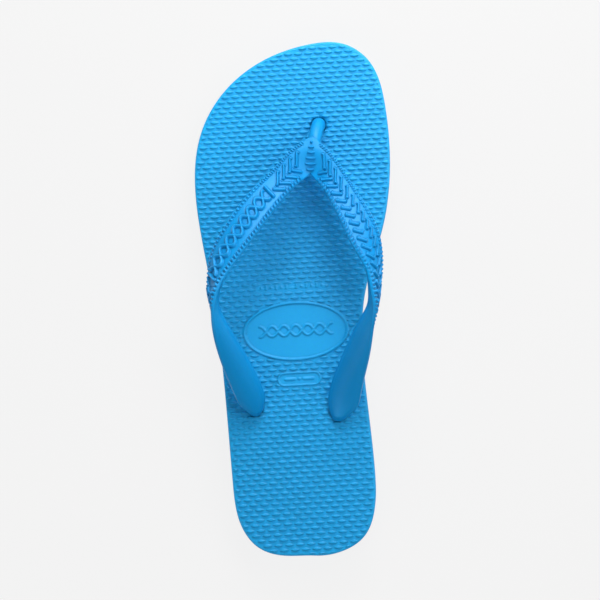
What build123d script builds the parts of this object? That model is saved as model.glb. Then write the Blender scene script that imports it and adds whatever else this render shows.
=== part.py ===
from build123d import *
import os

# A left-foot rubber flip flop (thong sandal).
#
# Frame: the origin is the middle of the sole's outline on the ground face, +Y runs to the toe,
# +X to the big-toe side and +Z up. Lengths are in millimetres.
#
# The sandal is three mouldings: a textured footbed sheet, bonded on an outsole sheet, and a
# one-piece strap whose three plugs go down through both sheets and end in discs under the sole.

# ---- Driving dimensions -------------------------------------------------------------------

SOLE_LENGTH = 258.0
SOLE_WIDTH = 99.2

HEEL_HEIGHT = 17.0           # top of the footbed behind the arch
TOE_HEIGHT = 13.5            # top of the footbed from the ball of the foot forward
WEDGE_BACK = -62.0           # y where the top starts to fall towards the toe
WEDGE_FRONT = 32.0           # y where the top is level again
FOOTBED_THICKNESS = 5.0

TREAD_DEPTH = 1.0
TREAD_GROOVE = 2.4           # width of one groove
TREAD_PITCH = 7.5
TREAD_BORDER = 6.0           # plain rim around the tread
TREAD_CLEAR_OF_PLUG = 13.0   # radius of the plain ring around each plug

# The plugs' centres: one at the toe, and one under each tongue of the strap.
TOE_PLUG = (14.5, 87.4)
LATERAL_PLUG = (-26.8, -50.2)
MEDIAL_PLUG = (17.3, -55.6)
PLUGS = (TOE_PLUG, LATERAL_PLUG, MEDIAL_PLUG)

TOE_SHANK_TOP = 13.0         # the toe shank ends inside the post
TONGUE_SHANK_TOP = 20.5      # a heel-side shank ends inside its tongue
SHANK_RADIUS = 3.6
HOLE_CLEARANCE = 0.1         # radial gap between a shank and its hole
DISC_RADIUS = 9.0
DISC_THICKNESS = 2.4
DISC_RECESS = 0.6            # how far a disc sits above the ground
COUNTERBORE_RADIUS = 9.6
COUNTERBORE_DEPTH = 3.2

# The strap band has a nearly flat outer face, thin edges and a rounded inner face.
BAND_THICKNESS = 4.4
BAND_EDGE = 1.9
BAND_CROWN = 0.5
STRAP_LIFT = 0.15            # gap between the strap's underside and the footbed
POST_RADIUS = 3.4            # a little slimmer than the shank it grows out of

# Points of the sole's outline, anticlockwise from the middle of the heel.
SOLE_OUTLINE = [
    (0.0, -129.0),
    (14.5, -127.4),
    (25.6, -120.6),
    (31.2, -108.5),
    (32.6, -90.0),
    (30.6, -50.0),
    (30.0, -22.0),
    (33.4, 3.4),
    (44.0, 34.5),
    (49.4, 66.0),
    (48.6, 96.0),
    (41.6, 118.5),
    (29.0, 127.6),
    (12.0, 128.2),
    (-9.0, 122.6),
    (-32.0, 107.0),
    (-45.6, 85.0),
    (-49.6, 58.0),
    (-47.6, 32.0),
    (-43.4, 0.0),
    (-40.4, -46.0),
    (-39.2, -91.0),
    (-36.0, -112.5),
    (-28.2, -123.4),
    (-14.5, -128.3),
]

# Stations of the strap band. Each one gives the band's upper edge and its lower edge.
# The first station is the mitre over the toe post, which both arms share.
MITRE = ((9.2, 63.2, 33.0), (11.2, 81.4, 29.5))

LATERAL_ARM = [
    ((4.9, 59.8, 34.6), (0.6, 75.6, 30.6)),
    ((0.7, 56.1, 36.6), (-7.9, 67.2, 32.4)),
    ((-7.4, 47.7, 42.0), (-18.0, 58.2, 36.0)),
    ((-17.3, 35.8, 48.8), (-29.3, 45.8, 41.5)),
    ((-25.3, 26.5, 53.5), (-36.9, 35.2, 43.5)),
    ((-33.8, 16.5, 57.0), (-42.8, 23.6, 44.5)),
    ((-38.6, 10.0, 58.5), (-44.4, 13.5, 44.5)),
    ((-42.2, 0.0, 58.5), (-44.2, 2.0, 43.0)),
    ((-43.0, -11.5, 55.0), (-38.3, -8.0, 41.5)),
    ((-41.6, -23.0, 47.8), (-32.6, -18.0, 36.5)),
    ((-38.9, -34.0, 39.0), (-27.3, -28.5, 30.2)),
    ((-35.6, -44.5, 30.0), (-22.4, -40.0, 23.6)),
    ((-32.4, -51.5, 23.5), (-20.9, -49.0, 19.0)),
    ((-28.5, -55.5, 18.6), (-22.9, -54.6, 16.8)),
]

MEDIAL_ARM = [
    ((13.2, 57.8, 35.0), (20.1, 72.8, 31.0)),
    ((17.3, 51.2, 37.8), (28.0, 60.0, 33.0)),
    ((23.6, 36.8, 45.0), (37.5, 43.2, 39.0)),
    ((30.7, 21.9, 52.5), (42.8, 27.5, 42.5)),
    ((36.0, 12.1, 56.0), (42.8, 14.5, 43.0)),
    ((37.6, 4.0, 57.2), (41.2, 5.5, 42.5)),
    ((38.4, -6.0, 56.0), (37.9, -4.0, 41.5)),
    ((37.0, -15.0, 51.8), (31.4, -11.5, 39.0)),
    ((34.7, -26.5, 44.5), (24.9, -21.0, 34.5)),
    ((31.4, -38.0, 35.5), (18.5, -32.5, 28.0)),
    ((28.2, -49.0, 26.5), (13.2, -44.0, 21.5)),
    ((25.0, -56.0, 21.2), (11.6, -53.5, 18.0)),
    ((19.5, -60.6, 18.0), (13.0, -59.8, 16.8)),
]

# The toe post's centre line, from inside the sole up into the band.
POST_LINE = [
    (TOE_PLUG[0], TOE_PLUG[1], 11.0),
    (TOE_PLUG[0], TOE_PLUG[1] - 0.4, 17.0),
    (13.4, 83.6, 23.2),
    (11.2, 76.0, 27.2),
]


# ---- Helpers ------------------------------------------------------------------------------

def sole_face():
    """The sole's outline as a face, centred on the origin."""
    outline = make_face(Spline(SOLE_OUTLINE, periodic=True))
    middle = outline.bounding_box().center()
    size = outline.bounding_box().size
    centred = Pos(-middle.X, -middle.Y, 0) * outline
    stretch = (SOLE_WIDTH / size.X, SOLE_LENGTH / size.Y, 1.0)
    return make_face(scale(centred, by=stretch).edges())


def wedge(drop):
    """Everything under the footbed's top surface, when that surface is lowered by drop."""
    heel = HEEL_HEIGHT - drop
    toe = TOE_HEIGHT - drop
    reach = SOLE_LENGTH
    waist = (WEDGE_BACK + WEDGE_FRONT) / 2
    side_view = [
        Line((-reach, 0), (-reach, heel)),
        Line((-reach, heel), (WEDGE_BACK, heel)),
        Bezier((WEDGE_BACK, heel), (waist, heel), (waist, toe), (WEDGE_FRONT, toe)),
        Line((WEDGE_FRONT, toe), (reach, toe)),
        Line((reach, toe), (reach, 0)),
        Line((reach, 0), (-reach, 0)),
    ]
    profile = Plane.YZ * make_face(side_view)
    return extrude(profile, amount=SOLE_WIDTH, both=True)


def upright(position, radius, low, high):
    """A vertical cylinder between two heights."""
    return Pos(position[0], position[1], low) * Cylinder(
        radius, high - low, align=(Align.CENTER, Align.CENTER, Align.MIN)
    )


def sheet_blank(face):
    """A block of the sole's outline with the three plug holes, higher than the heel."""
    for plug in PLUGS:
        face -= Pos(*plug) * Circle(SHANK_RADIUS + HOLE_CLEARANCE)
    return extrude(face, amount=HEEL_HEIGHT + FOOTBED_THICKNESS)


# ---- Sole ---------------------------------------------------------------------------------

def tread_grooves(face):
    """Straight grooves across the ground face, inside a plain border."""
    grooves = Sketch()
    rows = int((SOLE_LENGTH / 2 - TREAD_BORDER) / TREAD_PITCH)
    for row in range(-rows, rows):
        y = (row + 0.5) * TREAD_PITCH
        chord = (face & Pos(0, y) * Rectangle(SOLE_WIDTH, TREAD_GROOVE)).bounding_box()
        length = chord.size.X - 2 * TREAD_BORDER
        grooves += Pos(chord.center().X, y) * SlotOverall(length, TREAD_GROOVE)
    for plug in PLUGS:
        grooves -= Pos(*plug) * Circle(TREAD_CLEAR_OF_PLUG)
    return extrude(grooves, amount=TREAD_DEPTH)


def build_outsole():
    """The lower sheet, with plug holes, a counterbore for each disc, and tread."""
    face = sole_face()
    outsole = sheet_blank(face) & wedge(FOOTBED_THICKNESS)
    for plug in PLUGS:
        outsole -= upright(plug, COUNTERBORE_RADIUS, -HEEL_HEIGHT, COUNTERBORE_DEPTH)
    return outsole - tread_grooves(face)


def build_footbed():
    """The upper sheet, which follows the wedge and has the three plug holes."""
    return (sheet_blank(sole_face()) & wedge(0)) - wedge(FOOTBED_THICKNESS)


# ---- Strap --------------------------------------------------------------------------------

def band_section(upper, lower, heading):
    """The band's section between its two edges, square to the heading as far as it can be."""
    upper = Vector(*upper)
    lower = Vector(*lower)
    across = (lower - upper).normalized()
    forward = (heading - across * heading.dot(across)).normalized()
    width = (lower - upper).length
    half = width / 2
    deep = min(1.0, width / BAND_THICKNESS / 2)
    edge = BAND_EDGE * deep
    thick = BAND_THICKNESS * deep
    outline = [
        ThreePointArc((-half, 0), (0, BAND_CROWN), (half, 0)),
        Line((half, 0), (half, -edge)),
        ThreePointArc((half, -edge), (0, -thick), (-half, -edge)),
        Line((-half, -edge), (-half, 0)),
    ]
    place = Plane(origin=(upper + lower) / 2, x_dir=across, z_dir=forward)
    return place * make_face(outline)


def build_band():
    """Both arms as one loft, from the lateral tongue over the mitre to the medial tongue."""
    stations = LATERAL_ARM[::-1] + [MITRE] + MEDIAL_ARM
    middles = [(Vector(*upper) + Vector(*lower)) / 2 for upper, lower in stations]
    last = len(stations) - 1
    sections = []
    for i, (upper, lower) in enumerate(stations):
        heading = middles[min(i + 1, last)] - middles[max(i - 1, 0)]
        sections.append(band_section(upper, lower, heading))
    return loft(sections)


def build_post():
    """The toe post between the sole and the band."""
    line = Spline(POST_LINE, tangents=[(0, 0, 1), (-0.3, -1.0, 0.5)])
    return sweep(Plane(origin=line @ 0, z_dir=line % 0) * Circle(POST_RADIUS), path=line)


def build_plugs():
    """The three shanks with their discs."""
    plugs = Part()
    for plug in PLUGS:
        plugs += upright(plug, DISC_RADIUS, DISC_RECESS, DISC_RECESS + DISC_THICKNESS)
        top = TOE_SHANK_TOP if plug == TOE_PLUG else TONGUE_SHANK_TOP
        plugs += upright(plug, SHANK_RADIUS, DISC_RECESS, top)
    return plugs


def build_strap():
    """The band, trimmed to sit on the footbed, with the toe post and the plugs."""
    band = build_band() - wedge(-STRAP_LIFT)
    return band + build_post() + build_plugs()


# ---- Output -------------------------------------------------------------------------------

os.makedirs("parts", exist_ok=True)
export_step(build_footbed(), "parts/footbed.step")
export_step(build_outsole(), "parts/outsole.step")
export_step(build_strap(), "parts/strap.step")
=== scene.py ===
"""Looks of a left-foot rubber flip flop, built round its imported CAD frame.

The frame gives the sole's outline, the heights of both sheets and the whole object's box. The script
rebuilds the three mouldings as fine meshes with the moulded relief as real geometry:

    footbed_sheet    the upper sheet, with rice-grain texture, an oval badge and a pill-shaped frame
    outsole_sheet    the lower sheet, with tread and a counterbore for each plug disc
    strap_moulding   the Y strap with herringbone and rope relief, toe post, plugs and discs

Work is done in millimetres and turned into metres where a mesh is made.
"""
import math

import bmesh
import bpy
import numpy as np
from mathutils import Matrix, Vector
from mathutils.bvhtree import BVHTree


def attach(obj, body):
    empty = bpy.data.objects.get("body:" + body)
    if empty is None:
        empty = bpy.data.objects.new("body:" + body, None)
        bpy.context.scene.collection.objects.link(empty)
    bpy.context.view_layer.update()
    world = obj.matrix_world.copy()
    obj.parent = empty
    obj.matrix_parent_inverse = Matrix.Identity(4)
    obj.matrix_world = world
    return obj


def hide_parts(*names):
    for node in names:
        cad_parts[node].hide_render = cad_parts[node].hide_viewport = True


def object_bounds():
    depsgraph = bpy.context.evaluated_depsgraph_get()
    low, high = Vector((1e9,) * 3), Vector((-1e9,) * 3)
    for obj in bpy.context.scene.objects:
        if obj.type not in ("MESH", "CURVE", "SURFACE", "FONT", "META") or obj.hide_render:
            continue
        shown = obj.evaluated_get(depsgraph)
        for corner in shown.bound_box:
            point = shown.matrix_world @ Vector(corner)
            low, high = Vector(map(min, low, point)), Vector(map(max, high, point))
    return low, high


MM = 0.001

# ---- Strap layout, in millimetres, as in the CAD model ----
# Each station gives the band's upper edge and its lower edge. Both arms start at the mitre.

MITRE = ((9.2, 63.2, 33.0), (11.2, 81.4, 29.5))

LATERAL_ARM = [
    ((4.9, 59.8, 34.6), (0.6, 75.6, 30.6)),
    ((0.7, 56.1, 36.6), (-7.9, 67.2, 32.4)),
    ((-7.4, 47.7, 42.0), (-18.0, 58.2, 36.0)),
    ((-17.3, 35.8, 48.8), (-29.3, 45.8, 41.5)),
    ((-25.3, 26.5, 53.5), (-36.9, 35.2, 43.5)),
    ((-33.8, 16.5, 57.0), (-42.8, 23.6, 44.5)),
    ((-38.6, 10.0, 58.5), (-44.4, 13.5, 44.5)),
    ((-42.2, 0.0, 58.5), (-44.2, 2.0, 43.0)),
    ((-43.0, -11.5, 55.0), (-38.3, -8.0, 41.5)),
    ((-41.6, -23.0, 47.8), (-32.6, -18.0, 36.5)),
    ((-38.9, -34.0, 39.0), (-27.3, -28.5, 30.2)),
    ((-35.6, -44.5, 30.0), (-22.4, -40.0, 23.6)),
    ((-32.4, -51.5, 23.5), (-20.9, -49.0, 19.0)),
    ((-28.5, -55.5, 18.6), (-22.9, -54.6, 16.8)),
]

MEDIAL_ARM = [
    ((13.2, 57.8, 35.0), (20.1, 72.8, 31.0)),
    ((17.3, 51.2, 37.8), (28.0, 60.0, 33.0)),
    ((23.6, 36.8, 45.0), (37.5, 43.2, 39.0)),
    ((30.7, 21.9, 52.5), (42.8, 27.5, 42.5)),
    ((36.0, 12.1, 56.0), (42.8, 14.5, 43.0)),
    ((37.6, 4.0, 57.2), (41.2, 5.5, 42.5)),
    ((38.4, -6.0, 56.0), (37.9, -4.0, 41.5)),
    ((37.0, -15.0, 51.8), (31.4, -11.5, 39.0)),
    ((34.7, -26.5, 44.5), (24.9, -21.0, 34.5)),
    ((31.4, -38.0, 35.5), (18.5, -32.5, 28.0)),
    ((28.2, -49.0, 26.5), (13.2, -44.0, 21.5)),
    ((25.0, -56.0, 21.2), (11.6, -53.5, 18.0)),
    ((19.5, -60.6, 18.0), (13.0, -59.8, 16.8)),
]

TOE_PLUG = (14.5, 87.4)
LATERAL_PLUG = (-26.8, -50.2)
MEDIAL_PLUG = (17.3, -55.6)
PLUGS = (TOE_PLUG, LATERAL_PLUG, MEDIAL_PLUG)

BAND_WIDTH = 16.0  # nominal width that the relief is drawn for
BAND_THICKNESS = 4.4
BAND_EDGE = 1.9
BAND_CROWN = 0.5

HOLE_RADIUS = 3.7
SHANK_RADIUS = 3.6
COUNTERBORE_RADIUS = 9.6
COUNTERBORE_DEPTH = 3.2
DISC_RADIUS = 9.0
DISC_LOW = 0.6
DISC_HIGH = 3.0
PINHOLE_RADIUS = 0.01  # a plug's mesh stays open by this much on its axis, at both ends


# ---- Small maths ----

def smooth(t):
    """0 below 0, 1 above 1, and an S-curve between."""
    t = np.clip(t, 0.0, 1.0)
    return t * t * (3.0 - 2.0 * t)


def plateau(distance, half_width, slope):
    """1 within half_width of a line, falling to 0 over slope."""
    return smooth((half_width - distance) / slope + 0.5)


def ridge(distance, half_width):
    """A rounded ridge: 1 on its line, falling like half a circle to 0 at half_width."""
    return np.sqrt(np.clip(1.0 - (distance / half_width) ** 2, 0.0, 1.0))


def unit(vectors):
    """Rows scaled to length 1."""
    return vectors / np.linalg.norm(vectors, axis=-1, keepdims=True)


def from_plug(x, y):
    """Distance to the middle of the nearest plug."""
    return np.min([np.hypot(x - plug[0], y - plug[1]) for plug in PLUGS], axis=0)


def cell_noise(i, j, seed):
    """A repeatable value from 0 to 1 for each pair of whole numbers."""
    value = np.sin(i * 127.1 + j * 311.7 + seed * 74.7) * 43758.5453
    return value - np.floor(value)


def running_length(points):
    """Length along a line of points, at each of them."""
    steps = np.linalg.norm(np.diff(points, axis=0), axis=1)
    return np.concatenate([[0.0], np.cumsum(steps)])


def natural_spline(knots, values, at):
    """Natural cubic spline through values at knots, for each column of values."""
    count = len(knots)
    step = np.diff(knots)
    slope = np.diff(values, axis=0) / step[:, None]
    system = np.eye(count)
    right = np.zeros_like(values)
    for k in range(1, count - 1):
        system[k, k - 1] = step[k - 1]
        system[k, k] = 2.0 * (step[k - 1] + step[k])
        system[k, k + 1] = step[k]
        right[k] = 6.0 * (slope[k] - slope[k - 1])
    bend = np.linalg.solve(system, right)
    k = np.clip(np.searchsorted(knots, at) - 1, 0, count - 2)
    h = step[k][:, None]
    low = (knots[k + 1] - at)[:, None]
    high = (at - knots[k])[:, None]
    return (
        bend[k] * low**3 / (6 * h)
        + bend[k + 1] * high**3 / (6 * h)
        + (values[k] / h - bend[k] * h / 6) * low
        + (values[k + 1] / h - bend[k + 1] * h / 6) * high
    )


# ---- What the frame says about the sole ----

OUTLINE_POINTS = 520
WALL_STEEPNESS = 0.3  # a face whose normal rises less than this is part of a side wall
HEIGHTS_AT = np.arange(-124.0, 122.5, 2.0)  # y values where the heights of both sheets are read
RAY_START = 0.1  # metres above or below the ground where a height ray starts
RAY_ASIDE = -0.002  # metres beside the axis, so that no ray runs along an edge
EXACT_WITHIN = 6.0  # points nearer than this to the outline get an exact distance
POINTS_AT_ONCE = 4000  # how many of them are compared with the outline in one go


def tree_of(node):
    """A search tree over one CAD node's mesh, in metres."""
    mesh = node.data
    corners = [v.co.copy() for v in mesh.vertices]
    faces = [tuple(p.vertices) for p in mesh.polygons]
    return BVHTree.FromPolygons(corners, faces)


def smoothed_loop(points):
    """A closed loop with each point moved halfway to the middle of its neighbours."""
    return (np.roll(points, 1, axis=0) + 2 * points + np.roll(points, -1, axis=0)) / 4


def sole_outline(node):
    """The sole's outline in millimetres, anticlockwise, at evenly spaced points."""
    side = set()
    for polygon in node.data.polygons:
        if abs(polygon.normal.z) < WALL_STEEPNESS:
            side.update(polygon.vertices)
    points = np.array([node.data.vertices[i].co[:2] for i in side]) / MM
    points = points[from_plug(*points.T) > 3 * HOLE_RADIUS]
    points = np.unique(np.round(points, 2), axis=0)
    points = points[np.argsort(np.arctan2(points[:, 1], points[:, 0]))]
    closed = np.vstack([points, points[:1]])
    length = running_length(closed)
    at = np.linspace(0.0, length[-1], OUTLINE_POINTS, endpoint=False)
    even = np.column_stack([np.interp(at, length, closed[:, k]) for k in (0, 1)])
    return smoothed_loop(even)


def height_along(tree, upward):
    """Heights in millimetres, at HEIGHTS_AT, of the first face that rays up or down meet."""
    up = 1 if upward else -1
    heights = []
    for y in HEIGHTS_AT:
        origin = Vector((RAY_ASIDE, y * MM, -up * RAY_START))
        hit = tree.ray_cast(origin, Vector((0, 0, up)))
        heights.append(hit[0].z / MM)
    return np.array(heights)


class Sole:
    """The outline and the heights that both sheets share."""

    def __init__(self, nodes):
        footbed = tree_of(nodes["footbed"])
        self.outline = sole_outline(nodes["footbed"])
        self.top_heights = height_along(footbed, upward=False)
        self.bond_heights = height_along(footbed, upward=True)

    def top(self, y):
        """Height of the footbed's upper face."""
        return np.interp(y, HEIGHTS_AT, self.top_heights)

    def bond(self, y):
        """Height of the face where the two sheets are bonded."""
        return np.interp(y, HEIGHTS_AT, self.bond_heights)

    def outside(self, points):
        """Signed distance to the outline, positive outside, and the outward direction."""
        start = self.outline
        angle = np.arctan2(start[:, 1], start[:, 0])
        radius = np.hypot(start[:, 0], start[:, 1])
        order = np.argsort(angle)
        bearing = np.arctan2(points[:, 1], points[:, 0])
        polar = np.interp(bearing, angle[order], radius[order], period=2 * math.pi)
        reach = np.hypot(points[:, 0], points[:, 1])
        distance = reach - polar
        direction = points / np.maximum(reach, 1e-9)[:, None]
        near = np.flatnonzero(np.abs(distance) < EXACT_WITHIN)
        edge = np.roll(start, -1, axis=0) - start
        edge_squared = (edge**2).sum(1)
        for block in np.array_split(near, max(1, len(near) // POINTS_AT_ONCE)):
            offset = points[block][:, None] - start[None]
            along = np.clip((offset * edge).sum(2) / edge_squared, 0.0, 1.0)
            gap = offset - along[..., None] * edge
            length = np.hypot(gap[..., 0], gap[..., 1])
            best = length.argmin(1)
            rows = np.arange(len(block))
            side = edge[best]
            normal = unit(np.column_stack([side[:, 1], -side[:, 0]]))
            signed = (gap[rows, best] * normal).sum(1)
            distance[block] = np.sign(signed) * length[rows, best]
            direction[block] = normal
        return distance, direction


# ---- Meshes from numbers ----

RIM_SMOOTHING = 5  # passes that space a trimmed grid's rim points evenly
OVERHANG = 0.45  # share of a cell that a grid point may lie beyond the edge
WELD_DISTANCE = 0.004  # points nearer than this are one point


def make_object(name, points, faces, material, repair):
    """A smooth-shaded mesh object from points in millimetres, with every face outward.

    repair is fill_open_loops or weld, whichever this mesh needs.
    """
    mesh = bpy.data.meshes.new(name)
    mesh.from_pydata((np.asarray(points) * MM).tolist(), [], faces)
    mesh.validate()
    mesh.polygons.foreach_set("use_smooth", [True] * len(mesh.polygons))
    mesh.materials.append(material)
    obj = bpy.data.objects.new(name, mesh)
    bpy.context.scene.collection.objects.link(obj)
    bm = bmesh.new()
    bm.from_mesh(mesh)
    repair(bm)
    bmesh.ops.recalc_face_normals(bm, faces=bm.faces)
    bm.to_mesh(mesh)
    bm.free()
    return obj


def fill_open_loops(bm):
    """Closes a mesh's open loops with flat-shaded triangles."""
    rim = [e for e in bm.edges if e.is_boundary]
    filled = bmesh.ops.triangle_fill(bm, use_beauty=True, edges=rim)
    for item in filled["geom"]:
        if isinstance(item, bmesh.types.BMFace):
            item.smooth = False


def weld(bm):
    """Joins points that lie in the same place."""
    bmesh.ops.remove_doubles(bm, verts=bm.verts, dist=WELD_DISTANCE * MM)


def rim_loops(cell, quads):
    """Closed loops of point numbers along the open sides of the used cells.

    cell says for each cell of the grid whether it is used, and quads holds the used cells' corners.
    """
    padded = np.pad(cell, 1)
    rows, columns = np.nonzero(cell)
    follow = {}
    sides = ((-1, 0, 0, 1), (0, 1, 1, 2), (1, 0, 2, 3), (0, -1, 3, 0))
    for dy, dx, first, second in sides:
        open_side = ~padded[rows + 1 + dy, columns + 1 + dx]
        for a, b in quads[open_side][:, [first, second]]:
            follow[int(a)] = int(b)
    loops = []
    while follow:
        start, current = follow.popitem()
        loop = [start]
        while current != start:
            loop.append(current)
            current = follow.pop(current)
        loops.append(loop)
    return loops


def trimmed_grid(sole, grid_x, grid_y, inset, hole_radius):
    """A grid of four-sided cells, trimmed to the sole's inset outline and to the plug holes.

    Returns the points, the faces, and the rim loops with their outward directions.
    """
    points = np.column_stack([grid_x.ravel(), grid_y.ravel()])

    def beyond_edge(where):
        distance, direction = sole.outside(where)
        distance = distance + inset
        for plug in PLUGS:
            away = where - plug
            reach = np.maximum(np.hypot(away[:, 0], away[:, 1]), 1e-9)
            into_hole = hole_radius - reach
            inside = into_hole > distance
            distance[inside] = into_hole[inside]
            direction[inside] = -away[inside] / reach[inside][:, None]
        return distance, direction

    distance, direction = beyond_edge(points)
    cell_size = grid_x[0, 1] - grid_x[0, 0]
    usable = (distance < OVERHANG * cell_size).reshape(grid_x.shape)
    cell = usable[:-1, :-1] & usable[:-1, 1:] & usable[1:, 1:] & usable[1:, :-1]
    corners = ((0, 0), (0, 1), (1, 1), (1, 0))
    touching = np.zeros(grid_x.shape, int)
    for dy, dx in corners:
        touching[dy:dy + cell.shape[0], dx:dx + cell.shape[1]] += cell
    on_rim = ((touching > 0) & (touching < 4)).ravel()
    points[on_rim] -= direction[on_rim] * distance[on_rim][:, None]

    numbers = np.full(grid_x.size, -1)
    used = (touching > 0).ravel()
    numbers[used] = np.arange(used.sum())
    numbers = numbers.reshape(grid_x.shape)
    rows, columns = np.nonzero(cell)
    quads = np.column_stack([numbers[rows + dy, columns + dx] for dy, dx in corners])

    points = points[used]
    rims = []
    for loop in rim_loops(cell, quads):
        even = points[loop]
        for _ in range(RIM_SMOOTHING):
            even = smoothed_loop(even)
            distance, direction = beyond_edge(even)
            even -= direction * distance[:, None]
        points[loop] = even
        rims.append((loop, beyond_edge(even)[1]))
    return points, quads.tolist(), rims


def add_walls(points, faces, rims, profile_of):
    """Adds rings of points outside each rim loop. profile_of gives (offset, height) per ring."""
    blocks = [points]
    total = len(points)
    for loop, outward in rims:
        base = points[loop]
        previous = loop
        for offset, height in profile_of(base):
            ring = np.column_stack([base[:, :2] + outward * offset, height])
            numbers = list(range(total, total + len(loop)))
            total += len(loop)
            blocks.append(ring)
            for k in range(len(loop)):
                after = (k + 1) % len(loop)
                faces.append([previous[after], previous[k], numbers[k], numbers[after]])
            previous = numbers
    return np.vstack(blocks)


def is_hole(base):
    """True for the small loop round a plug, false for the sole's outline."""
    return np.ptp(base[:, 1]) < 4 * COUNTERBORE_RADIUS


# ---- Relief moulded in the footbed ----

# The grain pattern lies on two phases that grow along the foot: rows are counted by one and grains
# within a row by the other. Both run slightly finer towards the toe, and the grains drift sideways.

ROWS_PER_MM = 0.3935
ROWS_GAIN = 0.0001
GRAINS_PER_MM = 0.190
GRAINS_GAIN = 0.00006
DRIFT_PER_MM = 0.016
DRIFT_GAIN = 0.0001
SAMPLES_PER_ROW = 12
SAMPLES_PER_GRAIN = 12

GRAIN_ROWS = (-52, 54)  # first and last row of the grid, counted from the origin
GRAIN_COLUMNS = (-15, 15)
GRAIN_HALF_LENGTH = 2.15
GRAIN_HALF_HEIGHT = 0.82
GRAIN_RISE = 0.66
GRAIN_SLOPE = 0.27  # width of a grain's flank
GRAIN_DOME = 0.12  # extra rise for each millimetre in from a grain's edge

WAVE_LENGTH = 12.0  # of the two crossing waves on the badge and on the strap

BADGE_CENTRE = (-3.0, -15.4)
BADGE_AXES = (26.0, 14.2)
BADGE_RIM = 0.7  # half the width of the oval's line
BADGE_RIM_RISE = 0.85
BADGE_MARGIN = 0.9  # plain strip outside the middle of the oval's line
BADGE_WAVE_UP = 0.4  # the waves lie this far above the oval's middle
BADGE_WAVE_REACH = 18.0
BADGE_WAVE_HEIGHT = 2.6
BADGE_WAVE_HALF_WIDTH = 0.65
BADGE_WAVE_RISE = 0.75

PILL_CENTRE = (-2.6, -39.5)
PILL_HALF = (10.6, 3.1)
PILL_RIM = 0.5
PILL_DASHES = ((-4.6, 2.2), (0.0, 0.0), (4.6, 2.2))  # centre and half length
PILL_DASH_HALF_WIDTH = 0.8

TICKS_CENTRE = (-4.0, 7.1)
TICKS_HALF = (17.0, 1.5)
TICKS_EACH_SIDE = 6
TICK_PITCH = 2.55
TICK_HALF_LENGTHS = (0.1, 0.75)  # a dot at each even place, a stroke at each odd one
TICK_HALF_WIDTH = 0.55
TICKS_GRAIN_LEFT = 0.25  # share of the grains' height left round the ticks

SMALL_MARK_RISE = 0.65  # of the pill and the ticks

PLUG_HOLLOW_DEPTH = 0.5  # how deep the footbed dips round a plug
PLUG_HOLLOW_REACH = 2.2
RIM_FADE = 0.5  # over this width the relief fades out at the sole's edge


def grain_grid():
    """Points of a grid whose lines follow the grain pattern, over more than the sole."""
    first, last = (row * SAMPLES_PER_ROW for row in GRAIN_ROWS)
    rows = np.arange(first, last + 1) / SAMPLES_PER_ROW
    first, last = (column * SAMPLES_PER_GRAIN for column in GRAIN_COLUMNS)
    columns = np.arange(first, last + 1) / SAMPLES_PER_GRAIN
    ys = (np.sqrt(ROWS_PER_MM**2 + 2 * ROWS_GAIN * rows) - ROWS_PER_MM) / ROWS_GAIN
    column, y = np.meshgrid(columns, ys)
    drift = DRIFT_PER_MM * y + DRIFT_GAIN * y**2 / 2
    return (column - drift) / (GRAINS_PER_MM + GRAINS_GAIN * y), y


def grains(x, y):
    """Rows of raised, lens-shaped grains, each row shifted by half a grain."""
    row_phase = ROWS_PER_MM * y + ROWS_GAIN * y**2 / 2
    row = np.floor(row_phase)
    local_y = (row_phase - row - 0.5) / (ROWS_PER_MM + ROWS_GAIN * y)
    per_mm = GRAINS_PER_MM + GRAINS_GAIN * y
    phase = per_mm * x + DRIFT_PER_MM * y + DRIFT_GAIN * y**2 / 2 + (row % 2) / 2
    column = np.floor(phase)
    local_x = (phase - column - 0.5) / per_mm
    size = 0.96 + 0.08 * cell_noise(row, column, 1)
    arc = GRAIN_HALF_HEIGHT * size * (1 - (local_x / (GRAIN_HALF_LENGTH * size)) ** 2)
    inside = arc - np.abs(local_y)
    rise = GRAIN_RISE * (0.9 + 0.2 * cell_noise(row, column, 3))
    dome = GRAIN_DOME * np.clip(inside, 0.0, None)
    return rise * smooth(inside / GRAIN_SLOPE) + dome


def guilloche(x, y, half_length, wave_height):
    """Distance to two waves that cross each other, over a length along x."""
    turn = 2 * math.pi / WAVE_LENGTH
    past_end = np.maximum(np.abs(x) - half_length, 0.0)
    steep = np.sqrt(1 + (wave_height * turn * np.sin(turn * x)) ** 2)
    wave = wave_height * np.cos(turn * x)
    across = np.minimum(np.abs(y - wave), np.abs(y + wave)) / steep
    return np.hypot(across, past_end)


def ellipse_gap(x, y, axes):
    """Approximate distance outside an ellipse, negative inside."""
    shape = np.hypot(x / axes[0], y / axes[1])
    gradient = np.hypot(x / axes[0] ** 2, y / axes[1] ** 2) / np.maximum(shape, 1e-6)
    return (shape - 1) / np.maximum(gradient, 1e-3)


def pill_gap(x, y, half):
    """Distance outside a bar with fully rounded ends, negative inside."""
    straight = half[0] - half[1]
    return np.hypot(np.maximum(np.abs(x) - straight, 0.0), y) - half[1]


def badge_relief(x, y):
    """Oval badge, measured from its centre: (height, how much of the grain texture is left)."""
    gap = ellipse_gap(x, y, BADGE_AXES)
    wave = guilloche(x, y - BADGE_WAVE_UP, BADGE_WAVE_REACH, BADGE_WAVE_HEIGHT)
    height = BADGE_RIM_RISE * ridge(gap, BADGE_RIM)
    height += BADGE_WAVE_RISE * ridge(wave, BADGE_WAVE_HALF_WIDTH)
    return height, smooth((gap - BADGE_MARGIN) / 0.5)


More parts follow.
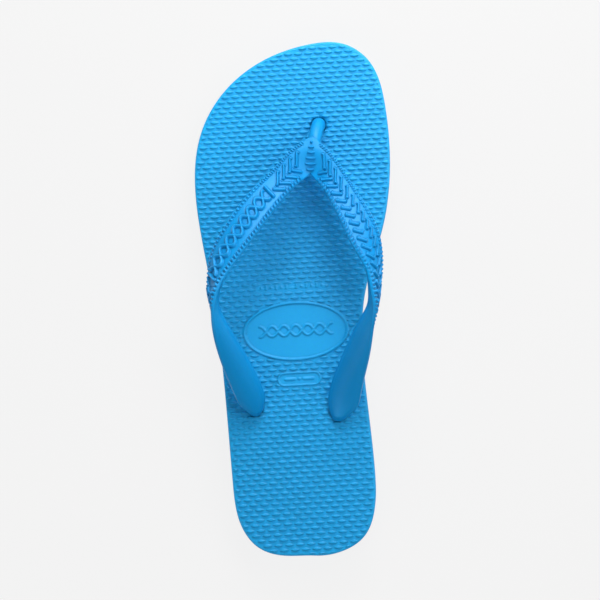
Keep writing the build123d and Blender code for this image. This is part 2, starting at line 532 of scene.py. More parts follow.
def pill_relief(x, y):
    """Pill-shaped frame with a dash, a dot and a dash in it, given as for the badge."""
    gap = pill_gap(x, y, PILL_HALF)
    height = ridge(gap, PILL_RIM)
    for centre, half in PILL_DASHES:
        dash = np.hypot(np.maximum(np.abs(x - centre) - half, 0.0), y)
        height = np.maximum(height, ridge(dash, PILL_DASH_HALF_WIDTH))
    return SMALL_MARK_RISE * height, smooth((gap - PILL_RIM) / 0.4)


def tick_relief(x, y):
    """A row of short strokes and dots between the badge and the strap, given as for the badge."""
    height = np.zeros_like(x)
    for side in (-1, 1):
        for k in range(1, TICKS_EACH_SIDE + 1):
            beyond = np.maximum(np.abs(y) - TICK_HALF_LENGTHS[k % 2], 0.0)
            stroke = np.hypot(x - side * k * TICK_PITCH, beyond)
            height = np.maximum(height, ridge(stroke, TICK_HALF_WIDTH))
    box = np.maximum(np.abs(x) - TICKS_HALF[0], np.abs(y) - TICKS_HALF[1])
    left = TICKS_GRAIN_LEFT + (1 - TICKS_GRAIN_LEFT) * smooth(box / 0.8)
    return SMALL_MARK_RISE * height, left


MARKS = ((badge_relief, BADGE_CENTRE), (pill_relief, PILL_CENTRE), (tick_relief, TICKS_CENTRE))


def footbed_relief(x, y, to_edge):
    """Height above the footbed's plain face, faded out at the rim."""
    to_hole = from_plug(x, y) - HOLE_RADIUS
    height = -PLUG_HOLLOW_DEPTH * (1 - smooth(to_hole / PLUG_HOLLOW_REACH))
    texture = grains(x, y)
    for mark, centre in MARKS:
        rise, left = mark(x - centre[0], y - centre[1])
        height += rise
        texture = texture * left
    return (height + texture) * smooth(to_edge / RIM_FADE + 0.1)


# ---- The two sheets ----

RIM_RADIUS = 0.9  # rounding of the footbed's upper edges
BOND_BEVEL = 0.25  # small bevel of both sheets where they meet
GROUND_RADIUS = 0.7  # rounding of the outsole's lower edges
TEXTURE_AT_HOLE = 0.6  # how far the relief runs on towards a plug hole's rim

TREAD_DEPTH = 1.0
TREAD_GROOVE = 2.4
TREAD_PITCH = 7.5
TREAD_BORDER = 6.0
TREAD_CLEAR_OF_PLUG = 13.0
TREAD_FLANK = 0.8  # width of a groove's sloping side
TREAD_ROWS = 18  # pitches from the origin to each end of the grid
SAMPLES_PER_PITCH = 15
GROUND_GRID_HALF = 60.0  # half the width of the grid, with one point for each millimetre


def rounding(radius, steps):
    """(outward offset, drop) along a quarter circle."""
    turns = np.linspace(0, math.pi / 2, steps + 1)[1:]
    return [(radius * math.sin(a), radius * (1 - math.cos(a))) for a in turns]


def build_footbed(sole, material):
    """The upper sheet."""
    grid_x, grid_y = grain_grid()
    hole = HOLE_RADIUS + RIM_RADIUS
    flat, faces, rims = trimmed_grid(sole, grid_x, grid_y, RIM_RADIUS, hole)
    to_edge = -sole.outside(flat)[0] - RIM_RADIUS
    to_hole = from_plug(*flat.T) - HOLE_RADIUS - RIM_RADIUS
    to_edge = np.minimum(to_edge, to_hole + TEXTURE_AT_HOLE)
    height = sole.top(flat[:, 1]) + footbed_relief(flat[:, 0], flat[:, 1], to_edge)
    points = np.column_stack([flat, height])

    def profile(base):
        top = base[:, 2]
        bond = sole.bond(base[:, 1])
        rings = [(out, top - drop) for out, drop in rounding(RIM_RADIUS, 4)]
        if is_hole(base):
            return rings + [(RIM_RADIUS, bond)]
        wall = RIM_RADIUS
        return rings + [
            (wall, (top + bond) / 2),
            (wall, bond + BOND_BEVEL),
            (wall - BOND_BEVEL, bond),
        ]

    points = add_walls(points, faces, rims, profile)
    return make_object("footbed_sheet", points, faces, material, fill_open_loops)


def tread(x, y, to_edge):
    """Depth of the tread grooves in the ground face."""
    from_row = np.abs((y / TREAD_PITCH) % 1.0 - 0.5) * TREAD_PITCH
    depth = plateau(from_row, TREAD_GROOVE / 2, TREAD_FLANK)
    depth = depth * smooth((to_edge - TREAD_BORDER) / TREAD_FLANK + 0.5)
    depth = depth * smooth((from_plug(x, y) - TREAD_CLEAR_OF_PLUG) / TREAD_FLANK + 0.5)
    return TREAD_DEPTH * depth


def build_outsole(sole, material):
    """The lower sheet. Its ground face is built first, then the walls go up."""
    across = np.arange(-GROUND_GRID_HALF, GROUND_GRID_HALF + 0.5, 1.0)
    last = TREAD_ROWS * SAMPLES_PER_PITCH
    along = np.arange(-last, last + 1) * TREAD_PITCH / SAMPLES_PER_PITCH
    grid_x, grid_y = np.meshgrid(across, along)
    edge = COUNTERBORE_RADIUS + GROUND_RADIUS
    flat, faces, rims = trimmed_grid(sole, grid_x, grid_y, GROUND_RADIUS, edge)
    to_edge = -sole.outside(flat)[0]
    points = np.column_stack([flat, tread(flat[:, 0], flat[:, 1], to_edge)])

    def profile(base):
        low = np.zeros(len(base))
        bond = sole.bond(base[:, 1])
        wall = GROUND_RADIUS
        rings = [(out, low + rise) for out, rise in rounding(GROUND_RADIUS, 3)]
        if is_hole(base):
            step_in = wall + COUNTERBORE_RADIUS - HOLE_RADIUS
            return rings + [
                (wall, low + COUNTERBORE_DEPTH),
                (step_in, low + COUNTERBORE_DEPTH),
                (step_in, bond),
            ]
        return rings + [
            (wall, bond / 2),
            (wall, bond - BOND_BEVEL),
            (wall - BOND_BEVEL, bond),
        ]

    points = add_walls(points, faces, rims, profile)
    return make_object("outsole_sheet", points, faces, material, fill_open_loops)


# ---- Relief moulded in the strap ----
# a runs along an arm from the toe post and u runs across it from the upper edge.

ROD_HALF_WIDTH = 0.7
ROD_RISE = 1.1
ROD_REACH = 12.0  # no rod runs further than this along the arm
HOOK_STEP = 0.525  # the hook at each end of a rod runs this far along and across
HOOK_HALF_WIDTH = 0.55
LATERAL_ROD_PITCH = 4.7
MEDIAL_ROD_PITCH = 4.74
MEDIAL_ROD_PAIRS = 19
BEAD_PITCH = 2.1
BEAD_CROWDING = 0.55  # share of extra beads on the lower edge next to the mitre
BEAD_CROWDED_END = 30.0  # a where that ends
BEAD_INSET = 1.0
BEAD_HALF_LENGTH = 1.1
BEAD_HALF_WIDTH = 0.7
BEAD_LEAN = 0.3  # how far a bead leans along the arm for each millimetre across it
BEAD_RISE = 0.9
CROWDED_BEAD_RISE = 0.55
MOTIF_HALF_WIDTH = 0.9
MOTIF_RISE = 1.4
MOTIF_WAVE_HEIGHT = 2.9
MOTIF_BAR_GAP = 2.2  # from the end of the waves to the bar that closes them
MOTIF_BAR = (4.6, 11.4)  # u of that bar's ends
SEAM = ((5.0, 2.4), (9.0, 13.6))  # ends of the slanted groove: a past the motif, and u
SEAM_HALF_WIDTH = 0.25
SEAM_DEPTH = 0.45
BORDER_DEPTH = 0.25  # of the fine sunk border round every raised line
BORDER_WIDTH = 0.5
RELIEF_END = 99.0  # a where the relief has faded out
RELIEF_FADE = 12.0  # over this length before it
BAR_RISE = 1.3
BAR_STEEP_SHARE = 0.25  # share of a bar's width that its steep side takes
HOLLOW_AWAY = 1.25  # from a bar's middle to the hollow below its steep side
HOLLOW_DEPTH = 0.5
# Each bar's place along the mitre from the crotch, and half its length.
BARS = ((2.0, 1.7), (4.7, 2.5), (7.4, 2.25), (10.1, 1.8), (12.9, 1.35), (15.6, 0.6))


def capsule(a, u, start, end):
    """Distance from points (a, u) to a straight segment."""
    run = (end[0] - start[0], end[1] - start[1])
    squared = run[0] ** 2 + run[1] ** 2
    along = ((a - start[0]) * run[0] + (u - start[1]) * run[1]) / squared
    along = np.clip(along, 0.0, 1.0)
    return np.hypot(a - start[0] - along * run[0], u - start[1] - along * run[1])


def moulded(lines):
    """Height of raised lines, each with a fine sunk border, from (distance, half width, rise)."""
    height = np.zeros_like(lines[0][0])
    gap = np.full_like(height, BORDER_WIDTH)
    for distance, half_width, rise in lines:
        height = np.maximum(height, (rise + BORDER_DEPTH) * ridge(distance, half_width))
        gap = np.minimum(gap, distance - half_width)
    return height - BORDER_DEPTH * (1 - smooth(gap / BORDER_WIDTH))


def herringbone(a, u, rods):
    """Distances to two interlocking columns of rods and to the hooks at their ends."""
    rod_distance = np.full_like(a, BAND_WIDTH)
    hook_distance = np.full_like(a, BAND_WIDTH)
    for start, end in rods:
        close = np.abs(a - start[0]) < ROD_REACH
        here_a = a[close]
        here_u = u[close]
        rod = capsule(here_a, here_u, start, end)
        rod_distance[close] = np.minimum(rod_distance[close], rod)
        rising = math.copysign(1.0, end[1] - start[1])
        for tip, turn in ((start, 1.0), (end, rising)):
            hook_end = (tip[0] - turn * HOOK_STEP, tip[1] + turn * rising * HOOK_STEP)
            hook = capsule(here_a, here_u, tip, hook_end)
            hook_distance[close] = np.minimum(hook_distance[close], hook)
    return rod_distance, hook_distance


def lateral_rods():
    """Rods on the lateral arm: four pairs next to the mitre and two past the motif."""
    rods = []
    for first, pairs in ((8.3, 4), (88.0, 2)):
        for k in range(pairs):
            inner = first + LATERAL_ROD_PITCH * k
            outer = inner - 3.3
            rods.append(((inner, 2.6), (inner + 4.3, 7.0)))
            rods.append(((outer, 12.5), (outer + 4.4, 7.2)))
    return rods


def medial_rods():
    """Rods on the medial arm. They change over from the mitre's layout to the arm's own."""
    rods = []
    for k in range(MEDIAL_ROD_PAIRS):
        inner = 8.2 + MEDIAL_ROD_PITCH * k
        away = float(smooth((inner - 15.0) / 25.0))
        low = 2.3 + 1.5 * away
        rods.append(((inner, low), (inner + 3.8 - 0.2 * away, low + 4.8 - 1.5 * away)))
        outer = inner - 3.6 + 3.4 * away
        high = 12.3 + 0.1 * away
        rods.append(((outer, high), (outer + 5.0 - 1.7 * away, high - 4.9 + 2.5 * away)))
    return rods


def rope(a, u, edge, lean, crowding):
    """Distance to a row of slanted beads along one edge of the band."""
    across = u - edge
    place = a - lean * across + crowding * np.minimum(a, BEAD_CROWDED_END)
    along = (place / BEAD_PITCH) % 1.0 * BEAD_PITCH - BEAD_PITCH / 2
    beyond = np.maximum(np.abs(across) - BEAD_HALF_LENGTH + BEAD_HALF_WIDTH, 0.0)
    return np.hypot(along, beyond)


def motif_relief(a, u, low, high):
    """Crossing waves from a = low to high, closed by two bars: (lines, distance to the seam)."""
    middle = (low + high) / 2
    wave = guilloche(a - middle, u - BAND_WIDTH / 2, (high - low) / 2, MOTIF_WAVE_HEIGHT)
    lines = [(wave, MOTIF_HALF_WIDTH, MOTIF_RISE)]
    for end in (low - MOTIF_BAR_GAP, high + MOTIF_BAR_GAP):
        bar = capsule(a, u, (end, MOTIF_BAR[0]), (end, MOTIF_BAR[1]))
        lines.append((bar, MOTIF_HALF_WIDTH, MOTIF_RISE))
    seam_ends = [(high + past, place) for past, place in SEAM]
    return lines, capsule(a, u, *seam_ends)


def arm_relief(a, u, rods, motif):
    """Height of the relief on an arm's outer face."""
    rod_distance, hook_distance = herringbone(a, u, rods)
    upper_beads = rope(a, u, BEAD_INSET, -BEAD_LEAN, 0.0)
    lower_beads = rope(a, u, BAND_WIDTH - BEAD_INSET, BEAD_LEAN, BEAD_CROWDING)
    lines = [
        (rod_distance, ROD_HALF_WIDTH, ROD_RISE),
        (hook_distance, HOOK_HALF_WIDTH, ROD_RISE),
        (upper_beads, BEAD_HALF_WIDTH, BEAD_RISE),
        (lower_beads, BEAD_HALF_WIDTH, CROWDED_BEAD_RISE),
    ]
    seam = np.full_like(a, BAND_WIDTH)
    if motif:
        motif_lines, seam = motif_relief(a, u, *motif)
        lines += motif_lines
    height = moulded(lines) - SEAM_DEPTH * plateau(seam, SEAM_HALF_WIDTH, 0.4)
    return height * (1 - smooth((a - RELIEF_END + RELIEF_FADE) / RELIEF_FADE))


def bar_relief(along, across):
    """The stack of lens-shaped cross bars over the toe post.

    Each bar is steep towards the crotch, with a hollow below that side, and slopes gently away
    towards the toe. The smallest one has no hollow.
    """
    height = np.zeros_like(along)
    for place, half in BARS:
        lens = np.clip(1 - (across / (half * 1.1)) ** 2, 0.0, None)
        width = 0.25 + 0.6 * lens
        through = (along - place + width) / (2 * width)
        slopes = np.minimum(through / BAR_STEEP_SHARE, (1 - through) / (1 - BAR_STEEP_SHARE))
        height = np.maximum(height, BAR_RISE * np.clip(slopes, 0.0, 1.0) * smooth(lens * 4))
        hollow = np.abs(along - place + HOLLOW_AWAY) - 0.5 * lens
        depth = HOLLOW_DEPTH * float(smooth((half - 0.6) / 0.7))
        height = height - depth * smooth(0.5 - hollow / 0.5) * smooth(lens * 3)
    return height


# ---- The strap ----

FACE_SAMPLES = 100  # points across the band's outer face
INNER_SAMPLES = 18  # points across its inner face
EDGE_ROUNDING = 0.6  # radius of the band's edges
AROUND = 48  # points round the plugs, the necks and the toe post
POST_RINGS = 60
FINE_STEP = 0.17  # along the patterned front half of each arm
COARSE_STEP = 0.6  # along the smooth rear half
MITRE_BLEND = 9.0  # over this length the section turns from the mitre to the arm
FIRST_SQUARE_STATION = 2  # counted from the mitre, the first station square to its arm

LATERAL_MOTIF = (31.5, 79.5)
CROTCH_DISH = 3.4  # how deep the strap dips above the crotch
CROTCH_REACH = 13.0  # from the crotch, how far that dip runs
PLAIN_MITRE = 3.4  # beside the mitre, this far, only the bars stand up
TIP_REACH = 1.6  # how far the rounded end of a tongue stands past its last station
STRAP_LIFT = 0.05  # gap between the strap's underside and the footbed

NECK_FOOT = 3.5  # radius of a tongue's neck where it comes out of its hole
NECK_HEAD = 5.2  # and where it meets the tongue
NECK_DEPTH = 1.5  # how far its head is sunk in the tongue
NECK_FLARE = 2.2  # a neck widens with this power of the way up
TONGUE_OVER = {  # each heel-side plug's arm, and the arm's station above the plug
    LATERAL_PLUG: (LATERAL_ARM, 12),
    MEDIAL_PLUG: (MEDIAL_ARM, 11),
}


def band_profile():
    """The band's closed section for the nominal width: (u, n, weight of the relief) rows."""
    corner = EDGE_ROUNDING
    outer_u = np.linspace(corner, BAND_WIDTH - corner, FACE_SAMPLES)
    centred = 2 * outer_u / BAND_WIDTH - 1
    outer = np.column_stack([outer_u, BAND_CROWN * (1 - centred**2), np.ones_like(outer_u)])
    turns = np.linspace(0, math.pi / 2, 4)
    edge = [
        (BAND_WIDTH - corner + corner * math.sin(t), -corner * (1 - math.cos(t)), 0.5)
        for t in turns[1:]
    ]
    low = BAND_EDGE - corner
    edge += [
        (BAND_WIDTH - corner + corner * math.cos(t), -low - corner * math.sin(t), 0.0)
        for t in turns[:-1]
    ]
    inner_u = np.linspace(BAND_WIDTH - corner, corner, INNER_SAMPLES)
    centred = (inner_u - BAND_WIDTH / 2) / (BAND_WIDTH / 2 - corner)
    depth = BAND_EDGE + (BAND_THICKNESS - BAND_EDGE) * (1 - centred**2) ** 0.8
    inner = np.column_stack([inner_u, -depth, np.zeros_like(inner_u)])
    far_edge = [(BAND_WIDTH - u, n, w) for u, n, w in reversed(edge)]
    return np.vstack([outer, edge, inner, far_edge])


def arm_skin(stations, side):
    """The plain outer skin of one arm. side is -1 for lateral, 1 for medial.

    Returns the points on the band's chord plane, the run along each line of the skin, the outward
    normals, how thick each ring is and the headings.
    """
    upper = np.array([MITRE[0]] + [s[0] for s in stations])
    lower = np.array([MITRE[1]] + [s[1] for s in stations])
    knots = running_length((upper + lower) / 2)
    fine_end = min(RELIEF_END + 2.0, knots[-1])
    at = np.concatenate([
        np.arange(0.0, fine_end, FINE_STEP),
        np.linspace(fine_end, knots[-1], int((knots[-1] - fine_end) / COARSE_STEP)),
    ])
    upper = natural_spline(knots, upper, at)
    lower = natural_spline(knots, lower, at)
    heading = unit(np.gradient((upper + lower) / 2, at, axis=0))
    start = np.array([float(side), 0.0, 0.0])
    turn = smooth(at / MITRE_BLEND)[:, None]
    heading = unit(start * (1 - turn) + heading * turn)
    width = np.linalg.norm(lower - upper, axis=1)
    across = unit(lower - upper)
    normal = unit(np.cross(heading, across)) * side
    thin = np.minimum(1.0, width / (2 * BAND_THICKNESS))
    u_share = band_profile()[:, 0] / BAND_WIDTH
    base = upper[:, None] + (lower - upper)[:, None] * u_share[None, :, None]
    run = np.linalg.norm(np.diff(base, axis=0), axis=2)
    run = np.vstack([np.zeros(len(u_share)), np.cumsum(run, axis=0)])
    square = np.searchsorted(at, knots[FIRST_SQUARE_STATION])
    run = run + knots[FIRST_SQUARE_STATION] - run[square]
    return base, run, normal, thin, heading


def arm_mesh(stations, side, rods, motif):
    """One arm's rings of points with the relief in them, and the headings."""
    base, run, normal, thin, heading = arm_skin(stations, side)
    profile = band_profile()
    u = np.broadcast_to(profile[:, 0], run.shape)
    relief = arm_relief(run, u, rods, motif)
    from_crotch = base - np.array(MITRE[0])
    mitre_across = unit(np.array(MITRE[1]) - np.array(MITRE[0]))
    along_mitre = from_crotch @ mitre_across
    from_mitre = np.abs(from_crotch[..., 0] - along_mitre * mitre_across[0])
    relief = relief * smooth((from_mitre - PLAIN_MITRE) / 1.2)
    relief = relief + bar_relief(along_mitre, from_mitre)
    dish = CROTCH_DISH * (1 - smooth(np.linalg.norm(from_crotch, axis=2) / CROTCH_REACH))
    depth = profile[:, 1][None] * thin[:, None] + relief * profile[:, 2][None] - dish
    return base + normal[:, None] * depth[..., None], heading


def skin(rings):
    """Quads from each ring of points to the next one: (points, faces)."""
    around = len(rings[0])
    faces = []
    for low in range(0, around * (len(rings) - 1), around):
        high = low + around
        for k in range(around):
            after = (k + 1) % around
            faces.append([low + k, low + after, high + after, high + k])
    return np.vstack(rings), faces


def capped_tube(rings):
    """A tube through rings of points, closed at both ends: (points, faces)."""
    first, last = (
        np.repeat(ring.mean(axis=0)[None], len(ring), axis=0) for ring in (rings[0], rings[-1])
    )
    return skin([first, *rings, last])


def rounded_tip(ring, heading):
    """Smaller and smaller copies of the last ring, which close it with a rounded end."""
    centre = ring.mean(axis=0)
    rings = []
    for angle in np.linspace(0, math.pi / 2, 7)[1:-1]:
        shrunk = centre + (ring - centre) * math.cos(angle)
        rings.append(shrunk + heading * TIP_REACH * math.sin(angle))
    rings.append(np.repeat((centre + heading * TIP_REACH)[None], len(ring), axis=0))
    return rings


def settle_on_footbed(points, sole):
    """Keeps the strap's underside on the footbed's surface."""
    floor = sole.top(points[:, 1]) + STRAP_LIFT
    points[:, 2] = np.maximum(points[:, 2], floor)
    return points


def build_band(sole):
    """Both arms as one closed skin: (points, faces)."""
    lateral, lateral_heading = arm_mesh(LATERAL_ARM, -1, lateral_rods(), LATERAL_MOTIF)
    medial, medial_heading = arm_mesh(MEDIAL_ARM, 1, medial_rods(), None)
    shared = (lateral[0] + medial[0]) / 2
    rings = rounded_tip(lateral[-1], lateral_heading[-1])[::-1]
    rings += list(lateral[:0:-1])
    rings.append(shared)
    rings += list(medial[1:])
    rings += rounded_tip(medial[-1], medial_heading[-1])
    points, faces = skin(rings)
    return settle_on_footbed(points, sole), faces


def unit_circle():
    """AROUND points spaced evenly round a level circle of radius 1."""
    turns = np.linspace(0, 2 * math.pi, AROUND, endpoint=False)
    return np.column_stack([np.cos(turns), np.sin(turns), np.zeros(AROUND)])


def lathe(profile, centre):
    """A turned shape about a vertical axis from (radius, height) pairs."""
    return skin([radius * unit_circle() + (*centre, height) for radius, height in profile])


def plug_profile(top):
    """Disc and shank, up to just under the footbed's surface.

    The disc's face has a small dimple in its middle and one fine groove near its edge.
    """
    bevel = 0.5
    return [
        (PINHOLE_RADIUS, DISC_LOW + 0.35),
        (2.2, DISC_LOW + 0.35),
        (2.8, DISC_LOW),
        (DISC_RADIUS - 1.6, DISC_LOW),
        (DISC_RADIUS - 1.3, DISC_LOW + 0.25),
        (DISC_RADIUS - 1.0, DISC_LOW),
        (DISC_RADIUS - bevel, DISC_LOW),
        (DISC_RADIUS, DISC_LOW + bevel),
        (DISC_RADIUS, DISC_HIGH - bevel),
        (DISC_RADIUS - bevel, DISC_HIGH),
        (SHANK_RADIUS + 0.6, DISC_HIGH),
        (SHANK_RADIUS, DISC_HIGH + 0.6),
        (SHANK_RADIUS, top - 1.2),
        (PINHOLE_RADIUS, top - 1.1),
    ]


def tongue_neck(top, plug, stations, turn):
    """The flare between a plug's shank and the underside of the tongue above it.

    turn is the number of the arm's station above the plug.
    """
    middles = [(np.array(upper) + np.array(lower)) / 2 for upper, lower in stations]
    upper, lower = stations[turn]
    across = unit(np.array(lower) - np.array(upper))
    heading = middles[turn + 1] - middles[turn - 1]
    heading = unit(heading - across * (heading @ across))
    normal = np.cross(across, heading)
    facing = math.copysign(1.0, normal[2])
    circle = unit_circle()
    foot = np.array([*plug, top - 2.0]) + NECK_FOOT * circle
    head = middles[turn] + NECK_DEPTH * facing * normal + NECK_HEAD * (
        circle[:, :1] * across + facing * circle[:, 1:2] * heading
    )
    rings = []
    for share in np.linspace(0.0, 1.0, 12):
        ring = foot + (head - foot) * share**NECK_FLARE
        ring[:, 2] = (foot + (head - foot) * share)[:, 2]
        rings.append(ring)
    return capped_tube(rings)


def toe_post(sole):
    """The post from its hole, leaning back and flattening until it is part of the band."""
    top = float(sole.top(np.array([TOE_PLUG[1]]))[0])
    stations = np.array([  # x, y, z, half the thickness and half the width
        (TOE_PLUG[0], TOE_PLUG[1], top - 3.0, 3.45, 3.45),
        (TOE_PLUG[0], TOE_PLUG[1], top + 0.5, 3.6, 3.6),
        (14.4, 86.9, top + 4.5, 3.5, 3.5),
        (13.7, 84.6, top + 8.5, 3.3, 3.4),
        (12.6, 80.9, top + 11.8, 3.0, 3.4),
        (11.4, 76.6, top + 13.6, 2.4, 3.6),
        (10.4, 71.5, top + 15.2, 1.6, 3.4),
    ])
    knots = running_length(stations[:, :3])
    at = np.linspace(0.0, knots[-1], POST_RINGS)
    path = natural_spline(knots, stations, at)
    heading = unit(np.gradient(path[:, :3], at, axis=0))
    sideways = unit(np.cross(heading, np.array([0.0, 1.0, 0.3])))
    outward = unit(np.cross(sideways, heading))
    circle = unit_circle()
    rings = []
    for k, (x, y, z, thick, wide) in enumerate(path):
        oval = circle[:, :1] * wide * sideways[k] + circle[:, 1:2] * thick * outward[k]
        rings.append(np.array([x, y, z]) + oval)
    return capped_tube(rings)


def build_strap(sole, material):
    """The whole strap moulding."""
    parts = [build_band(sole), toe_post(sole)]
    for plug in PLUGS:
        top = float(sole.top(np.array([plug[1]]))[0])
        parts.append(lathe(plug_profile(top), plug))
        if plug in TONGUE_OVER:
            parts.append(tongue_neck(top, plug, *TONGUE_OVER[plug]))
    blocks = []
    faces = []
    total = 0
    for points, part_faces in parts:
        blocks.append(points)
        faces += [[i + total for i in face] for face in part_faces]
        total += len(points)
    return make_object("strap_moulding", np.vstack(blocks), faces, material, weld)


# ---- Materials ----

# Each moulding's rubber: its colour, roughness and shine, the size of the grain of its skin in
# metres, how strong that grain is, and how much colour is left under the painted shade in its
# deepest creases.
RUBBERS = {
    "footbed": ((0.004, 0.37, 0.78), 0.48, 0.33, 0.0004, 0.5, 0.52),
    "outsole": ((0.004, 0.34, 0.76), 0.6, 0.3, 0.0005, 0.8, 0.52),
    "strap": ((0.002, 0.28, 0.66), 0.42, 0.22, 0.0003, 0.3, 0.72),
}

CLOUD_SCALE = 28.0  # per metre, as for the specks
SPECK_SCALE = 900.0
CLOUD_RANGE = (0.93, 1.06)  # the colour is multiplied by this between dark and light clouds
SPECK_STRENGTH = 0.12
SHEEN_RANGE = (-0.06, 0.08)  # added to the roughness between specks
SKIN_HEIGHT = 0.00008  # metres
# Painted shade: the base colour is darkened by ambient occlusion in creases and recesses.
PAINTED_SHADE_REACH = 1.6  # painted shade: a face darkens another one's colour within this distance
PAINTED_SHADE_SAMPLES = 8
PAINTED_SHADE_OPENNESS = (0.45, 0.95)  # occlusion read as painted shade, from the deepest creases to open ground


def multiplied(tree, first, second, amount):
    """One colour multiplied by another. amount is how much of that is done."""
    node = tree.nodes.new("ShaderNodeMix")
    node.data_type = "RGBA"
    node.blend_type = "MULTIPLY"
    node.inputs["Factor"].default_value = amount
    tree.links.new(first, node.inputs["A"])
    tree.links.new(second, node.inputs["B"])
    return node.outputs["Result"]


def remapped(tree, value, low, high):
    """A map range node whose result runs from low to high as the value runs from 0 to 1."""
    node = tree.nodes.new("ShaderNodeMapRange")
    node.inputs["To Min"].default_value = low
    node.inputs["To Max"].default_value = high
    tree.links.new(value, node.inputs["Value"])
    return node


def painted_crease_shade(tree, deepest):
    """Painted shade from ambient occlusion: 1 on open ground, falling to deepest in creases."""
    openness = tree.nodes.new("ShaderNodeAmbientOcclusion")
    openness.samples = PAINTED_SHADE_SAMPLES
    openness.inputs["Distance"].default_value = PAINTED_SHADE_REACH * MM
    tone = remapped(tree, openness.outputs["AO"], deepest, 1.0)
    tone.inputs["From Min"].default_value = PAINTED_SHADE_OPENNESS[0]
    tone.inputs["From Max"].default_value = PAINTED_SHADE_OPENNESS[1]
    return tone.outputs["Result"]


def rubber(name, colour, roughness, shine, grain_size, bump, deepest_painted_shade):
    """Moulded rubber: a clouded colour with painted shade in its creases, an uneven sheen and a fine
    skin.
    """
    material = bpy.data.materials.new(name)
    material.use_nodes = True
    tree = material.node_tree
    shader = tree.nodes["Principled BSDF"]
    place = tree.nodes.new("ShaderNodeTexCoord")

    def noise(scale, detail):
        node = tree.nodes.new("ShaderNodeTexNoise")
        node.inputs["Scale"].default_value = scale
        node.inputs["Detail"].default_value = detail
        tree.links.new(place.outputs["Object"], node.inputs["Vector"])
        return node

    cloud = noise(CLOUD_SCALE, 3.0)
    speck = noise(SPECK_SCALE, 2.0)
    grain = noise(1.0 / grain_size, 4.0)

    tint = tree.nodes.new("ShaderNodeMix")
    tint.data_type = "RGBA"
    tint.inputs["A"].default_value = (*[c * CLOUD_RANGE[0] for c in colour], 1.0)
    tint.inputs["B"].default_value = (*[c * CLOUD_RANGE[1] for c in colour], 1.0)
    tree.links.new(cloud.outputs["Fac"], tint.inputs["Factor"])
    tone = multiplied(tree, tint.outputs["Result"], speck.outputs["Color"], SPECK_STRENGTH)
    # painted shade: the base colour is darkened in creases by ambient occlusion
    tone = multiplied(tree, tone, painted_crease_shade(tree, deepest_painted_shade), 1.0)
    tree.links.new(tone, shader.inputs["Base Color"])

    lowest, highest = (roughness + change for change in SHEEN_RANGE)
    sheen = remapped(tree, speck.outputs["Fac"], lowest, highest)
    tree.links.new(sheen.outputs["Result"], shader.inputs["Roughness"])

    height = tree.nodes.new("ShaderNodeBump")
    height.inputs["Strength"].default_value = bump
    height.inputs["Distance"].default_value = SKIN_HEIGHT
    tree.links.new(grain.outputs["Fac"], height.inputs["Height"])
    tree.links.new(height.outputs["Normal"], shader.inputs["Normal"])
    shader.inputs["Specular IOR Level"].default_value = shine
    return material


# ---- Stage ----

# Lengths in this section are in metres.

VIEW_ROLL = math.radians(3.4)  # the toe points a little to the left of the picture's top
CAMERA_HEIGHT = 1.7
CAMERA_ASIDE = 0.050  # the camera hangs this far to the big-toe side
AIM_HEIGHT = 0.015  # it looks at this height over the sole's middle
FIELD = 0.302  # width of the picture at the footbed
FLOOR_HALF = 4.0
FLOOR_DROP = 0.0002  # the floor lies this far below the outsole
FLOOR_PAINT = 0.05
FLOOR_GLOW = 0.85

# Each soft box: its place and target, the side of its square, and its power in watts.
SOFT_BOXES = {
    "key": ((0.08, 0.43, 0.25), (0.0, 0.02, 0.0), 0.35, 2.5),
    "toe_top": ((0.18, 0.20, 0.50), (0.02, 0.08, 0.0), 0.25, 0.8),
    "far_key": ((0.1, 1.2, 0.9), (0.0, 0.0, 0.0), 0.5, 4.2),
    "heel_fill": ((0.0, -1.0, 1.2), (0.0, 0.0, 0.0), 1.0, 4.4),
    "left_fill": ((-0.9, -0.5, 0.8), (0.0, 0.0, 0.0), 0.8, 4.4),
    "right_fill": ((0.9, 0.0, 0.9), (0.0, 0.0, 0.0), 0.8, 4.8),
}


def build_floor():
    """A large pale floor. It glows a little, as a lit backdrop does, so shadows on it stay faint."""
    mesh = bpy.data.meshes.new("floor")
    corners = [(x * FLOOR_HALF, y * FLOOR_HALF, 0) for x, y in ((-1, -1), (1, -1), (1, 1), (-1, 1))]
    mesh.from_pydata(corners, [], [(0, 1, 2, 3)])
    material = bpy.data.materials.new("floor_paint")
    material.use_nodes = True
    shader = material.node_tree.nodes["Principled BSDF"]
    shader.inputs["Base Color"].default_value = (FLOOR_PAINT, FLOOR_PAINT, FLOOR_PAINT, 1.0)
    shader.inputs["Roughness"].default_value = 1.0
    shader.inputs["Specular IOR Level"].default_value = 0.0
    shader.inputs["Emission Color"].default_value = (1.0, 1.0, 1.0, 1.0)
    shader.inputs["Emission Strength"].default_value = FLOOR_GLOW
    mesh.materials.append(material)
    floor = bpy.data.objects.new("floor", mesh)
    bpy.context.scene.collection.objects.link(floor)
    floor.location.z = -FLOOR_DROP


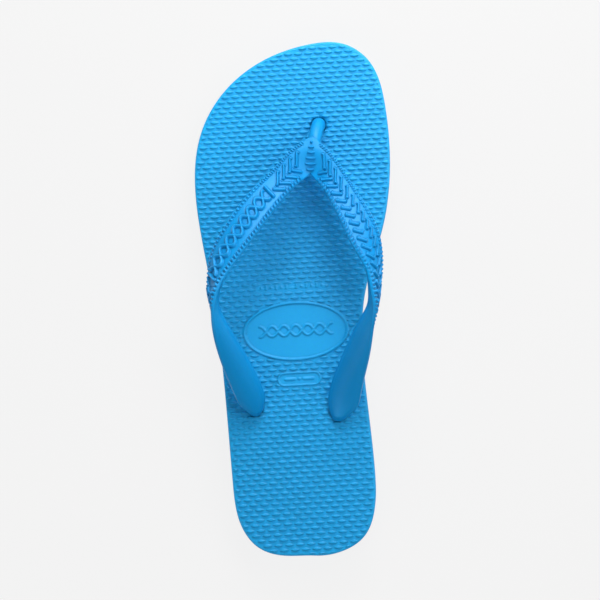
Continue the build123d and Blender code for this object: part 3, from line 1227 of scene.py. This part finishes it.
def soft_box(name, place, target, size, power):
    """A square area light that faces its target."""
    data = bpy.data.lights.new(name, "AREA")
    data.shape = "SQUARE"
    data.size = size
    data.energy = power
    light = bpy.data.objects.new(name, data)
    bpy.context.scene.collection.objects.link(light)
    light.location = place
    light.rotation_euler = (Vector(target) - Vector(place)).to_track_quat("-Z", "Y").to_euler()


def build_lights():
    """The soft boxes, in an otherwise dark world."""
    for name, settings in SOFT_BOXES.items():
        soft_box(name, *settings)
    world = bpy.data.worlds.new("studio")
    world.use_nodes = True
    world.node_tree.nodes["Background"].inputs["Strength"].default_value = 0.0
    bpy.context.scene.world = world


def build_camera(low, high):
    """A long lens straight above, a little to the big-toe side."""
    middle = (low + high) / 2
    data = bpy.data.cameras.new("camera")
    camera = bpy.data.objects.new("camera", data)
    bpy.context.scene.collection.objects.link(camera)
    place = Vector((CAMERA_ASIDE, 0.0, CAMERA_HEIGHT))
    target = Vector((middle.x, middle.y, AIM_HEIGHT))
    back = (place - target).normalized()
    up = Vector((math.sin(VIEW_ROLL), math.cos(VIEW_ROLL), 0.0))
    right = up.cross(back).normalized()
    up = back.cross(right)
    camera.matrix_world = Matrix((
        (right.x, up.x, back.x, place.x),
        (right.y, up.y, back.y, place.y),
        (right.z, up.z, back.z, place.z),
        (0.0, 0.0, 0.0, 1.0),
    ))
    data.lens = data.sensor_width * (place - target).length / FIELD
    data.clip_end = 20.0
    bpy.context.scene.camera = camera


# ---- Build ----

BUILDERS = {"footbed": build_footbed, "outsole": build_outsole, "strap": build_strap}

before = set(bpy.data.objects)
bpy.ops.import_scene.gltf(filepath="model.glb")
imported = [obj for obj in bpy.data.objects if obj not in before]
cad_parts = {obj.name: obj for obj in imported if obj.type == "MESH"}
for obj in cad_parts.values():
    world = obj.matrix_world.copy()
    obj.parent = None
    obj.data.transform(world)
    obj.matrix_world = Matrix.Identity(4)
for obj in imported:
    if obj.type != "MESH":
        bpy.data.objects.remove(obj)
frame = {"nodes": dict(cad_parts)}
cad_low, cad_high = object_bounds()
sole_shape = Sole(frame["nodes"])

for node, build in BUILDERS.items():
    piece = build(sole_shape, rubber(node, *RUBBERS[node]))
    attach(piece, "root")
    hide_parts(node)

build_floor()
build_lights()
build_camera(cad_low, cad_high)
bpy.context.scene.view_settings.view_transform = "Standard"
